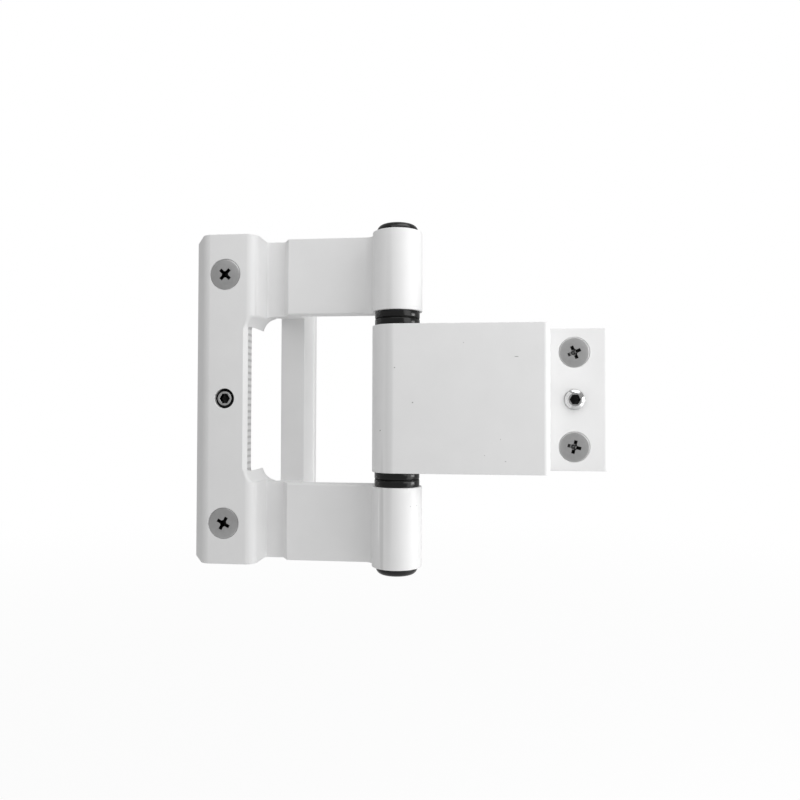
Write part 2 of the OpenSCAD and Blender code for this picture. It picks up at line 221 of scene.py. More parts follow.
def threaded(
    blank: bpy.types.Object, core_r: float, outer_r: float, pitch: float, start: float, end: float
) -> None:
    """Wind a right-handed thread's ridge round a turned blank and join it on.

    Args:
        blank: The turned piece, along Z.
        core_r: Radius at the thread's root.
        outer_r: Radius at the thread's crest.
        pitch: Rise of one turn.
        start: Height at which the ridge starts.
        end: Height that it doesn't pass.
    """
    # Half the width of the ridge's foot, as a share of the pitch, and the steps of one turn.
    flank, steps = 0.42, 36
    bpy.ops.object.select_all(action="DESELECT")
    bpy.ops.mesh.primitive_circle_add(
        vertices=4, radius=MM, rotation=(math.radians(90), 0, 0),
        location=(core_r * MM, 0, (start + flank * pitch) * MM),
    )
    ridge = bpy.context.object
    ridge.scale = (outer_r - core_r, flank * pitch, 1)
    bpy.ops.object.transform_apply(location=True, rotation=True, scale=True)
    turns = int((end - start) / pitch - 2 * flank)
    modify(
        ridge, "SCREW", axis="Z", angle=math.tau, steps=steps, render_steps=steps,
        screw_offset=pitch * MM, iterations=turns,
    )
    bpy.ops.object.mode_set(mode="EDIT")
    bpy.ops.mesh.select_all(action="SELECT")
    bpy.ops.mesh.fill_holes(sides=4)
    bpy.ops.mesh.select_all(action="SELECT")
    bpy.ops.mesh.normals_make_consistent(inside=False)
    bpy.ops.object.mode_set(mode="OBJECT")
    activate(blank)
    ridge.select_set(True)
    bpy.ops.object.join()


def copied(piece: bpy.types.Object, name: str) -> bpy.types.Object:
    """Copy a piece with a mesh of its own.

    Args:
        piece: The piece that is modelled once.
        name: The copy's name.

    Returns:
        The copy.
    """
    activate(piece)
    bpy.ops.object.duplicate()
    twin = bpy.context.object
    twin.name = twin.data.name = name
    return twin


def place(
    piece: bpy.types.Object, spot: tuple[float, float, float], turn: Euler | None = None
) -> None:
    """Put a piece in its place and leave its object at the origin.

    Args:
        piece: The piece, modelled about the origin.
        spot: Where its origin goes, in millimetres.
        turn: How it is turned first.
    """
    piece.location = Vector(spot) * MM
    if turn:
        piece.rotation_euler = turn
    activate(piece)
    bpy.ops.object.transform_apply(location=True, rotation=True, scale=True)


def hand_over(
    piece: bpy.types.Object,
    node: str,
    body: Body,
    materials: list[bpy.types.Material],
    smooth: float = 35.0,
) -> None:
    """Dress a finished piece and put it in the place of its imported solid.

    Args:
        piece: The finished piece.
        node: The solid that it stands for.
        body: The body that it moves with.
        materials: Its finishes, in the order of its faces' material numbers.
        smooth: Widest angle between faces that is shaded as round, in degrees.
    """
    for material in materials:
        piece.data.materials.append(material)
    activate(piece)
    bpy.ops.object.shade_smooth_by_angle(angle=math.radians(smooth))
    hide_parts(node)
    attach(piece, body.value)
    LOG.info("%s stands for %s, %d faces", piece.name, node, len(piece.data.polygons))


@dataclass(frozen=True)
class Mark:
    """A small mark in a finish: an ellipsoid, in millimetres, that shows another colour."""

    place: tuple[float, float, float]
    half: tuple[float, float, float]
    colour: str = "#777777"


class Finish:
    """What every finish shares: a Principled shader that it dresses in its own way."""

    name: str

    def dress(self, tree: bpy.types.NodeTree, spot: bpy.types.NodeSocket) -> dict:
        """Add the finish's patterns.

        Args:
            tree: The material's node tree.
            spot: The place on the object, in metres.

        Returns:
            The shader's inputs, by name.
        """
        raise NotImplementedError

    def material(self) -> bpy.types.Material:
        """Build the finish as a material.

        Returns:
            The new material.
        """
        material = bpy.data.materials.new(self.name)
        material.use_nodes = True
        tree = material.node_tree
        tree.nodes.clear()
        spot = add_node(tree, "ShaderNodeTexCoord").outputs["Object"]
        shader = add_node(tree, "ShaderNodeBsdfPrincipled", self.dress(tree, spot))
        add_node(tree, "ShaderNodeOutputMaterial", {"Surface": shader.outputs["BSDF"]})
        return material


@dataclass(frozen=True)
class PowderCoat(Finish):
    """Satin white polyester powder coat, sprayed and baked on extruded aluminium.

    It looks like smooth eggshell: soft broad highlights, a faint orange peel where the powder
    flowed, thin places a touch darker and a few dust specks baked in. On the knuckles its marks
    also draw a lighter streak, a darker band and a band of painted shade.
    """

    name: str = "powder_coat_satin_white"
    colour: str = "#EEEEEE"
    thin_colour: str = "#E8E8E8"
    roughness: tuple[float, float] = (0.33, 0.41)
    peel_width: float = 0.9
    peel_height: float = 0.006
    grain_width: float = 0.22
    grain_height: float = 0.0012
    patch_width: float = 9.0
    ripple_height: float = 0.03
    ripple_colour: str = "#B4B4B4"
    marks: tuple[Mark, ...] = ()

    def ripple(
        self, tree: bpy.types.NodeTree, spot: bpy.types.NodeSocket
    ) -> bpy.types.NodeSocket | None:
        """Add what the metal under the coat shows; plain extrusion shows nothing.

        Args:
            tree: The material's node tree.
            spot: The place on the object.

        Returns:
            The height that shows through, from zero to one, or nothing.
        """
        return None

    def dress(self, tree: bpy.types.NodeTree, spot: bpy.types.NodeSocket) -> dict:
        """Lay the coat: tone, marks, roughness and orange peel.

        Args:
            tree: The material's node tree.
            spot: The place on the object, in metres.

        Returns:
            The shader's inputs, by name.
        """
        patches = add_node(
            tree, "ShaderNodeTexNoise",
            {"Vector": spot, "Scale": 1 / (self.patch_width * MM), "Detail": 3.0},
        )
        tone = add_node(
            tree, "ShaderNodeMix",
            {
                "Factor": patches.outputs["Fac"],
                MIX_A: linear(self.thin_colour), MIX_B: linear(self.colour),
            },
            data_type="RGBA",
        ).outputs[MIXED]
        for mark in self.marks:
            offset = add_node(
                tree, "ShaderNodeVectorMath", {0: spot, 1: Vector(mark.place) * MM},
                operation="SUBTRACT",
            )
            spread = add_node(
                tree, "ShaderNodeVectorMath",
                {0: offset.outputs[0], 1: Vector([1 / (h * MM) for h in mark.half])},
                operation="MULTIPLY",
            )
            far = add_node(
                tree, "ShaderNodeVectorMath", {0: spread.outputs[0]}, operation="LENGTH"
            )
            clear = add_node(
                tree, "ShaderNodeMapRange", {"Value": far.outputs["Value"], "From Min": 0.5}
            )
            tone = add_node(
                tree, "ShaderNodeMix",
                {"Factor": clear.outputs["Result"], MIX_A: linear(mark.colour), MIX_B: tone},
                data_type="RGBA",
            ).outputs[MIXED]
        peel = add_node(
            tree, "ShaderNodeTexNoise",
            {"Vector": spot, "Scale": 1 / (self.peel_width * MM), "Detail": 1.0},
        )
        grain = add_node(
            tree, "ShaderNodeTexNoise",
            {"Vector": spot, "Scale": 1 / (self.grain_width * MM)},
        )
        gloss = add_node(
            tree, "ShaderNodeMapRange",
            {
                "Value": patches.outputs["Fac"],
                "To Min": self.roughness[0], "To Max": self.roughness[1],
            },
        )
        waves = add_node(
            tree, "ShaderNodeBump",
            {"Height": peel.outputs["Fac"], "Distance": self.peel_height * MM},
        )
        fine = add_node(
            tree, "ShaderNodeBump",
            {
                "Height": grain.outputs["Fac"], "Distance": self.grain_height * MM,
                "Normal": waves.outputs[0],
            },
        )
        normal = fine
        under = self.ripple(tree, spot)
        if under:
            normal = add_node(
                tree, "ShaderNodeBump",
                {
                    "Height": under, "Distance": self.ripple_height * MM,
                    "Normal": fine.outputs[0],
                },
            )
            tone = add_node(
                tree, "ShaderNodeMix",
                {"Factor": under, MIX_A: linear(self.ripple_colour), MIX_B: tone},
                data_type="RGBA",
            ).outputs[MIXED]
        return {
            "Base Color": tone, "Roughness": gloss.outputs["Result"], "Normal": normal.outputs[0],
        }


@dataclass(frozen=True)
class MilledCoat(PowderCoat):
    """The same coat over the window's milled edge, where the cutter's steps show as dashes."""

    name: str = "powder_coat_over_milling"
    colour: str = "#DCDCDC"
    thin_colour: str = "#D4D4D4"
    feed: float = 1.95
    dash_low: float = 0.05
    dash_high: float = 0.6

    def ripple(
        self, tree: bpy.types.NodeTree, spot: bpy.types.NodeSocket
    ) -> bpy.types.NodeSocket | None:
        """Draw the cutter's steps up the window's edge.

        Args:
            tree: The material's node tree.
            spot: The place on the object.

        Returns:
            The steps' height: low in the short dashes between them.
        """
        # A wave texture's own factor: twenty bands for each full turn of its scaled place.
        bands = 20
        wave = add_node(
            tree, "ShaderNodeTexWave",
            {"Vector": spot, "Scale": math.tau / bands / (self.feed * MM)},
            wave_type="BANDS", bands_direction="Z",
        )
        return add_node(
            tree, "ShaderNodeMapRange",
            {
                "Value": wave.outputs["Fac"],
                "From Min": self.dash_low, "From Max": self.dash_high,
            },
        ).outputs["Result"]


@dataclass(frozen=True)
class MouldedNylon(Finish):
    """Black polyamide, injection moulded: deep black, a dull sheen and a faint mould grain."""

    name: str = "moulded_black_nylon"
    colour: str = "#040404"
    worn_colour: str = "#0A0A0A"
    roughness: tuple[float, float] = (0.13, 0.23)
    specular: float = 0.42
    cloud_width: float = 2.5
    grain_width: float = 0.25
    grain_height: float = 0.002

    def dress(self, tree: bpy.types.NodeTree, spot: bpy.types.NodeSocket) -> dict:
        """Lay the nylon: tone, sheen and mould grain.

        Args:
            tree: The material's node tree.
            spot: The place on the object, in metres.

        Returns:
            The shader's inputs, by name.
        """
        cloud = add_node(
            tree, "ShaderNodeTexNoise",
            {"Vector": spot, "Scale": 1 / (self.cloud_width * MM), "Detail": 3.0},
        )
        tone = add_node(
            tree, "ShaderNodeMix",
            {
                "Factor": cloud.outputs["Fac"],
                MIX_A: linear(self.colour), MIX_B: linear(self.worn_colour),
            },
            data_type="RGBA",
        )
        grain = add_node(
            tree, "ShaderNodeTexNoise",
            {"Vector": spot, "Scale": 1 / (self.grain_width * MM)},
        )
        bump = add_node(
            tree, "ShaderNodeBump",
            {"Height": grain.outputs["Fac"], "Distance": self.grain_height * MM},
        )
        gloss = add_node(
            tree, "ShaderNodeMapRange",
            {
                "Value": cloud.outputs["Fac"],
                "To Min": self.roughness[0], "To Max": self.roughness[1],
            },
        )
        return {
            "Base Color": tone.outputs[MIXED], "Roughness": gloss.outputs["Result"],
            "Normal": bump.outputs[0], "Specular IOR Level": self.specular,
        }


@dataclass(frozen=True)
class PlatedSteel(Finish):
    """Cold-headed steel with a bright zinc layer, tumbled while it was plated.

    It is a mid grey with a cloudy sheen and the small dents of tumbling.
    """

    name: str = "zinc_plated_steel"
    colour: str = "#B2B2B2"
    cloud_colour: str = "#CDCDCD"
    roughness: float = 0.34
    gloss_spread: float = 0.08
    cloud_width: float = 1.6
    dent_width: float = 0.5
    dent_height: float = 0.012

    def dress(self, tree: bpy.types.NodeTree, spot: bpy.types.NodeSocket) -> dict:
        """Lay the metal: clouded tone, uneven gloss and dents.

        Args:
            tree: The material's node tree.
            spot: The place on the object, in metres.

        Returns:
            The shader's inputs, by name.
        """
        cloud = add_node(
            tree, "ShaderNodeTexNoise",
            {"Vector": spot, "Scale": 1 / (self.cloud_width * MM), "Detail": 4.0},
        )
        tone = add_node(
            tree, "ShaderNodeMix",
            {
                "Factor": cloud.outputs["Fac"],
                MIX_A: linear(self.colour), MIX_B: linear(self.cloud_colour),
            },
            data_type="RGBA",
        )
        gloss = add_node(
            tree, "ShaderNodeMapRange",
            {
                "Value": cloud.outputs["Fac"],
                "To Min": self.roughness + self.gloss_spread,
                "To Max": self.roughness - self.gloss_spread,
            },
        )
        dents = add_node(
            tree, "ShaderNodeTexNoise",
            {"Vector": spot, "Scale": 1 / (self.dent_width * MM)},
        )
        bump = add_node(
            tree, "ShaderNodeBump",
            {"Height": dents.outputs["Fac"], "Distance": self.dent_height * MM},
        )
        return {
            "Base Color": tone.outputs[MIXED], "Roughness": gloss.outputs["Result"],
            "Normal": bump.outputs[0], "Metallic": 1.0,
        }


@dataclass(frozen=True)
class GroundSteel(Finish):
    """Stainless rod, ground to size: bright, with fine rings round its length."""

    name: str = "ground_stainless_steel"
    colour: str = "#B4B4B4"
    streak_colour: str = "#9B9B9B"
    roughness: tuple[float, float] = (0.32, 0.18)
    ring_width: float = 0.3
    across: float = 0.02

    def dress(self, tree: bpy.types.NodeTree, spot: bpy.types.NodeSocket) -> dict:
        """Lay the metal: rings of two tones.

        Args:
            tree: The material's node tree.
            spot: The place on the object, in metres.

        Returns:
            The shader's inputs, by name.
        """
        # Real grinding lines are a few hundredths of a millimetre apart, too fine to show,
        # so these are ten times as coarse.
        along = add_node(
            tree, "ShaderNodeMapping", {"Vector": spot, "Scale": (self.across, self.across, 1)}
        )
        rings = add_node(
            tree, "ShaderNodeTexNoise",
            {"Vector": along.outputs[0], "Scale": 1 / (self.ring_width * MM), "Detail": 3.0},
        )
        tone = add_node(
            tree, "ShaderNodeMix",
            {
                "Factor": rings.outputs["Fac"],
                MIX_A: linear(self.streak_colour), MIX_B: linear(self.colour),
            },
            data_type="RGBA",
        )
        gloss = add_node(
            tree, "ShaderNodeMapRange",
            {
                "Value": rings.outputs["Fac"],
                "To Min": self.roughness[0], "To Max": self.roughness[1],
            },
        )
        return {
            "Base Color": tone.outputs[MIXED], "Roughness": gloss.outputs["Result"],
            "Metallic": 1.0,
        }


@dataclass(frozen=True)
class FloorPaper(Finish):
    """Seamless white studio paper that shows as white and keeps a faint shadow."""

    name: str = "white_studio_paper"
    colour: str = "#F4F4F4"
    fibre_colour: str = "#FAFAFA"
    fibre_width: float = 4.0
    roughness: float = 0.9
    white_share: float = 0.93
    fade_start: float = 60.0
    fade_end: float = 900.0

    def dress(self, tree: bpy.types.NodeTree, spot: bpy.types.NodeSocket) -> dict:
        """Lay the paper: a matt white with the finest fibre tone.

        Args:
            tree: The material's node tree.
            spot: The place on the object, in metres.

        Returns:
            The shader's inputs, by name.
        """
        fibre = add_node(
            tree, "ShaderNodeTexNoise",
            {"Vector": spot, "Scale": 1 / (self.fibre_width * MM)},
        )
        tone = add_node(
            tree, "ShaderNodeMix",
            {
                "Factor": fibre.outputs["Fac"],
                MIX_A: linear(self.colour), MIX_B: linear(self.fibre_colour),
            },
            data_type="RGBA",
        )
        return {"Base Color": tone.outputs[MIXED], "Roughness": self.roughness}

    def material(self) -> bpy.types.Material:
        """Build the paper, mixed to white for the rays that show a background.

        The share of white grows with the distance, so that no line parts floor and background.

        Returns:
            The new material.
        """
        material = super().material()
        tree = material.node_tree
        shader = next(n for n in tree.nodes if n.type == "BSDF_PRINCIPLED")
        output = next(n for n in tree.nodes if n.type == "OUTPUT_MATERIAL")
        spot = add_node(tree, "ShaderNodeTexCoord").outputs["Object"]
        far = add_node(tree, "ShaderNodeVectorMath", {0: spot}, operation="LENGTH")
        fade = add_node(
            tree, "ShaderNodeMapRange",
            {
                "Value": far.outputs["Value"],
                "From Min": self.fade_start * MM, "From Max": self.fade_end * MM,
                "To Min": self.white_share, "To Max": 1.0,
            },
            interpolation_type="SMOOTHSTEP",
        )
        share = add_node(
            tree, "ShaderNodeMath", {0: shown_rays(tree), 1: fade.outputs["Result"]},
            operation="MULTIPLY",
        )
        white = add_node(tree, "ShaderNodeEmission", {"Color": linear("#FFFFFF")})
        mix = add_node(
            tree, "ShaderNodeMixShader",
            {0: share.outputs[0], 1: shader.outputs["BSDF"], 2: white.outputs[0]},
        )
        tree.links.new(mix.outputs[0], output.inputs["Surface"])
        return material


def shown_rays(tree: bpy.types.NodeTree) -> bpy.types.NodeSocket:
    """Tell the rays that show a background from those that light the object.

    Args:
        tree: The node tree that asks.

    Returns:
        A value of one for camera and transmission rays.
    """
    path = add_node(tree, "ShaderNodeLightPath")
    return add_node(
        tree, "ShaderNodeMath",
        {0: path.outputs["Is Camera Ray"], 1: path.outputs["Is Transmission Ray"]},
        operation="MAXIMUM",
    ).outputs[0]


@dataclass(frozen=True)
class Lamp:
    """A soft rectangular studio lamp that looks at the middle of the hinge."""

    name: str
    place: tuple[float, float, float]
    size: tuple[float, float]
    power: float
    target: tuple[float, float, float] = (*AXIS, 0.0)

    def build(self) -> None:
        """Hang the lamp."""
        data = bpy.data.lights.new(self.name, "AREA")
        data.shape = "RECTANGLE"
        data.size, data.size_y = (side * MM for side in self.size)
        data.energy = self.power
        lamp = bpy.data.objects.new(self.name, data)
        lamp.location = Vector(self.place) * MM
        aim = Vector(self.target) - Vector(self.place)
        lamp.rotation_euler = aim.to_track_quat("-Z", "Y").to_euler()
        bpy.context.scene.collection.objects.link(lamp)


@dataclass(frozen=True)
class Studio:
    """Camera, lamps, world and floor. Lengths are in millimetres."""

    camera_place: tuple[float, float, float] = (76.20, -221.61, -4.07)
    camera_azimuth: float = 6.28
    camera_pitch: float = 1.013
    camera_roll: float = 0.175
    camera_lens: float = 31.5
    camera_sensor: float = 36.0
    camera_range: tuple[float, float] = (10.0, 20_000.0)
    world_level: float = 0.449
    floor_z: float = -160.0
    floor_size: float = 6000.0
    lamps: tuple[Lamp, ...] = (
        Lamp("high_side_lamp", (203.9, -99.7, 303.1), (250.0, 250.0), 0.42),
        Lamp("low_side_lamp", (280.0, -60.0, -80.0), (160.0, 160.0), 0.1),
        Lamp("top_lamp", (40.0, -160.0, 170.0), (160.0, 160.0), 0.087),
        Lamp("front_side_lamp", (262.0, -140.0, 60.0), (160.0, 160.0), 0.13),
        Lamp("side_window_lamp", (451.3, 15.7, 0.0), (150.0, 150.0), 0.42),
    )

    def camera(self) -> None:
        """Put the camera where the photograph was taken from."""
        data = bpy.data.cameras.new("camera")
        data.lens = self.camera_lens
        data.sensor_width = self.camera_sensor
        data.clip_start, data.clip_end = (far * MM for far in self.camera_range)
        camera = bpy.data.objects.new("camera", data)
        camera.location = Vector(self.camera_place) * MM
        turn = Euler((math.radians(90 + self.camera_pitch), 0, math.radians(self.camera_azimuth)))
        roll = Matrix.Rotation(math.radians(self.camera_roll), 3, "Z")
        camera.rotation_euler = (turn.to_matrix() @ roll).to_euler()
        bpy.context.scene.collection.objects.link(camera)
        bpy.context.scene.camera = camera

    def world(self) -> None:
        """Light the hinge evenly, and show white to the camera."""
        world = bpy.data.worlds.new("studio")
        bpy.context.scene.world = world
        world.use_nodes = True
        tree = world.node_tree
        tree.nodes.clear()
        level = add_node(
            tree, "ShaderNodeMapRange", {"Value": shown_rays(tree), "To Min": self.world_level}
        )
        sky = add_node(
            tree, "ShaderNodeBackground",
            {"Color": linear("#FFFFFF"), "Strength": level.outputs["Result"]},
        )
        add_node(tree, "ShaderNodeOutputWorld", {"Surface": sky.outputs[0]})

    def floor(self) -> None:
        """Lay the pale floor well below the hinge."""
        bpy.ops.object.select_all(action="DESELECT")
        bpy.ops.mesh.primitive_plane_add(
            size=self.floor_size * MM, location=(0, 0, self.floor_z * MM)
        )
        floor = bpy.context.object
        floor.name = "studio_floor"
        floor.data.materials.append(FloorPaper().material())

    def build(self) -> None:
        """Set up the studio."""
        bpy.context.scene.view_settings.view_transform = "Standard"
        self.camera()
        self.world()
        self.floor()
        for lamp in self.lamps:
            lamp.build()


@dataclass(frozen=True)
class Window:
    """The window milled through a leaf: its upright edge and how far its corners reach.

    Lengths are in millimetres. The corners reach from the edge to the left and the right, and
    from the window's end inwards and outwards. The channel's inner corner runs along the edge.
    """

    edge_x: float
    half: float
    left: float = 1.5
    right: float = 2.8
    inwards: float = 6.5
    outwards: float = 0.5
    channel_side: float = 0.75
    channel_y: tuple[float, float] = (-12.5, -11.5)

    def on_edge(self, centre: Vector, normal: Vector) -> bool:
        """Tell whether a face stands on the upright edge.

        Args:
            centre: The face's centre.
            normal: Its normal.

        Returns:
            Whether the cutter made it.
        """
        near, facing = 0.05, 0.7
        return (
            normal.x > facing and abs(centre.x - self.edge_x) < near and abs(centre.z) < self.half
        )

    def at_corner(self, middle: Vector) -> bool:
        """Tell whether an edge crosses a fillet's narrow facets, which rounding would fold over.

        Args:
            middle: The edge's middle.

        Returns:
            Whether it runs round a corner of the window or along the channel's inner corner.
        """
        across, height = middle.x - self.edge_x, abs(middle.z) - self.half
        round_corner = (
            -self.left < across < self.right and -self.inwards < height < self.outwards
        )
        low, high = self.channel_y
        return round_corner or (abs(across) < self.channel_side and low < middle.y < high)


@dataclass(frozen=True)
class Leaf:
    """A leaf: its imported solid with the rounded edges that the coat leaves."""

    node: str
    body: Body
    window: Window | None = None
    edge: float = 0.2
    edge_steps: int = 2

    def soften(self, piece: bpy.types.Object) -> None:
        """Round the sharp edges as the coat does.

        Args:
            piece: The merged copy of the solid.
        """
        activate(piece)
        bpy.ops.object.mode_set(mode="EDIT")
        bpy.ops.mesh.select_mode(type="EDGE")
        bpy.ops.mesh.select_all(action="DESELECT")
        bpy.ops.mesh.edges_select_sharp(sharpness=math.radians(30))
        bpy.ops.object.mode_set(mode="OBJECT")
        for edge in piece.data.edges if self.window else ():
            start, end = (piece.data.vertices[i].co for i in edge.vertices)
            if self.window.at_corner((start + end) / 2 / MM):
                edge.select = False
        bpy.ops.object.mode_set(mode="EDIT")
        bpy.ops.mesh.bevel(
            offset=self.edge * MM, segments=self.edge_steps, affect="EDGES", clamp_overlap=False
        )
        bpy.ops.mesh.select_mode(type="FACE")
        bpy.ops.object.mode_set(mode="OBJECT")

    def build(self, coat: bpy.types.Material, milled: bpy.types.Material) -> None:
        """Copy the solid, merge it, round its edges and coat it.

        Args:
            coat: The finish of the extrusion's faces.
            milled: The finish of the window's edge.
        """
        piece = bpy.data.objects.new(
            f"{self.node}_coated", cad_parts[self.node].data.copy()
        )
        bpy.context.scene.collection.objects.link(piece)
        activate(piece)
        bpy.ops.object.mode_set(mode="EDIT")
        bpy.ops.mesh.select_all(action="SELECT")
        bpy.ops.mesh.remove_doubles(threshold=0.001 * MM)
        bpy.ops.mesh.dissolve_limited(angle_limit=math.radians(0.5))
        bpy.ops.object.mode_set(mode="OBJECT")
        self.soften(piece)
        piece.data.materials.clear()
        for face in piece.data.polygons if self.window else ():
            face.material_index = int(self.window.on_edge(face.center / MM, face.normal))
        hand_over(piece, self.node, self.body, [coat, milled], 50)
        modify(piece, "WEIGHTED_NORMAL", keep_sharp=True, weight=100)


@dataclass(frozen=True)
class PinJoint:
    """The knuckles' insides: pin, bushes, thin washers and end caps, in millimetres."""

    pin_r: float = 4.0
    pin_half: float = 46.7
    pin_chamfer: float = 0.6
    bore_r: float = 4.05
    bush_r: float = 5.0
    flange_r: float = 6.75
    flange_t: float = 1.95
    flanged_len: float = 9.0
    plain_len: float = 9.2
    washer_r: float = 6.65
    washer_t: float = 0.3
    washer_edge: float = 0.06
    cap_r: float = 6.25
    cap_rim: float = 0.3
    cap_edge: float = 2.0
    cap_stem: float = 3.0
    cap_stem_r: float = 4.03
    middle_half: float = 21.85
    window_half: float = 26.15
    leaf_half: float = 50.0
    soft_edge: float = 0.2

    def settle(
        self,
        piece: bpy.types.Object,
        node: str,
        height: float,
        way: Way,
        body: Body,
        material: bpy.types.Material,
    ) -> None:
        """Put a piece on the pin's axis and hand it over.

        Args:
            piece: The piece, modelled about Z.
            node: The solid that it stands for.
            height: Where its origin lies along the pin.
            way: Whether it stands up or is turned over.
            body: The body that it moves with.
            material: Its finish.
        """
        turn = Euler((0 if way is Way.UP else math.pi, 0, 0))
        place(piece, (*AXIS, height), turn)
        hand_over(piece, node, body, [material])

    def round_off(self, model: bpy.types.Object, width: float, steps: int) -> None:
        """Round the sharp edges of a bush or washer.

        Args:
            model: The piece.
            width: How far the rounding reaches, in millimetres.
            steps: How many facets it has.
        """
        modify(
            model, "BEVEL", width=width * MM, segments=steps,
            limit_method="ANGLE", angle_limit=math.radians(40),
        )

    def pin(self, steel: bpy.types.Material) -> None:
        """Turn the pin with its chamfered ends.

        Args:
            steel: Its finish.
        """
        end_r = self.pin_r - self.pin_chamfer
        shoulder = self.pin_half - self.pin_chamfer
        piece = turned(
            "ground_pin",
            [(end_r, -self.pin_half), (self.pin_r, -shoulder), (self.pin_r, shoulder),
             (end_r, self.pin_half)],
        )
        self.settle(piece, "hinge_pin", 0, Way.UP, Body.FIXED, steel)

    def bushes(self, nylon: bpy.types.Material) -> None:
        """Mould one flanged and one plain bush, and put each of the six in its knuckle.

        Args:
            nylon: Their finish.
        """
        flanged = turned(
            "flanged_bush_model",
            [(self.bore_r, -self.flange_t), (self.flange_r, -self.flange_t), (self.flange_r, 0),
             (self.bush_r, 0), (self.bush_r, self.flanged_len), (self.bore_r, self.flanged_len)],
            hollow=True,
        )
        half = self.plain_len / 2
        plain = turned(
            "plain_bush_model",
            [(self.bore_r, -half), (self.bush_r, -half), (self.bush_r, half), (self.bore_r, half)],
            hollow=True,
        )
        for model in (flanged, plain):
            self.round_off(model, self.soft_edge, 3)
        middle, window = self.middle_half, self.window_half
        outer = self.leaf_half - half
        for model, node, height, way, body in (
            (flanged, "upper_flanged_bush", window, Way.UP, Body.FIXED),
            (flanged, "middle_upper_bush", middle, Way.DOWN, Body.MOVING),
            (flanged, "middle_lower_bush", -middle, Way.UP, Body.MOVING),
            (flanged, "lower_flanged_bush", -window, Way.DOWN, Body.FIXED),
            (plain, "upper_plain_bush", outer, Way.UP, Body.FIXED),
            (plain, "lower_plain_bush", -outer, Way.DOWN, Body.FIXED),
        ):
            piece = copied(model, f"{node}_moulded")
            self.settle(piece, node, height, way, body, nylon)
        for model in (flanged, plain):
            bpy.data.objects.remove(model)

    def washers(self, steel: bpy.types.Material) -> None:
        """Stamp one thin washer and lay it on both outer flanges.

        Args:
            steel: Their finish.
        """
        half = self.washer_t / 2
        model = turned(
            "washer_model",
            [(self.bore_r, -half), (self.washer_r, -half), (self.washer_r, half),
             (self.bore_r, half)],
            hollow=True,
        )
        self.round_off(model, self.washer_edge, 2)
        height = self.window_half - self.flange_t - half
        for node, way in (("upper_thrust_washer", Way.UP), ("lower_thrust_washer", Way.DOWN)):
            piece = copied(model, f"{node}_stamped")
            self.settle(piece, node, way.value * height, way, Body.FIXED, steel)
        bpy.data.objects.remove(model)

    def caps(self, nylon: bpy.types.Material) -> None:
        """Mould one round-edged cap, with the gate's small dimple on top, and close both ends.

        Args:
            nylon: Their finish.
        """
        gate_r, gate_depth, gate_edge, gate_foot = 0.7, 0.12, 0.15, 0.1
        lead, seam, steps = 0.3, 0.08, 12
        rings = [
            (self.cap_stem_r - lead, -self.cap_stem), (self.cap_stem_r, lead - self.cap_stem),
            (self.cap_stem_r, 0), (self.cap_r - seam, 0), (self.cap_r, seam),
            (self.cap_r, self.cap_rim),
        ]
        for step in range(1, steps + 1):
            angle = math.radians(90 * step / steps)
            rings.append((
                self.cap_r - self.cap_edge * (1 - math.cos(angle)),
                self.cap_rim + self.cap_edge * math.sin(angle),
            ))
        top = rings[-1][1]
        rings += [
            (gate_r + gate_edge, top), (gate_r, top - gate_depth / 2),
            (gate_r - gate_foot, top - gate_depth),
        ]
        model = turned("cap_model", rings)
        for node, way in (("upper_end_cap", Way.UP), ("lower_end_cap", Way.DOWN)):
            piece = copied(model, f"{node}_moulded")
            height = way.value * self.leaf_half
            self.settle(piece, node, height, way, Body.FIXED, nylon)
        bpy.data.objects.remove(model)

    def build(
        self, pin: bpy.types.Material, nylon: bpy.types.Material, steel: bpy.types.Material
    ) -> None:
        """Build all the pieces on the pin's axis.

        Args:
            pin: The pin's finish.
            nylon: The bushes' and caps' finish.
            steel: The washers' finish.
        """
        self.pin(pin)
        self.bushes(nylon)
        self.washers(steel)
        self.caps(nylon)


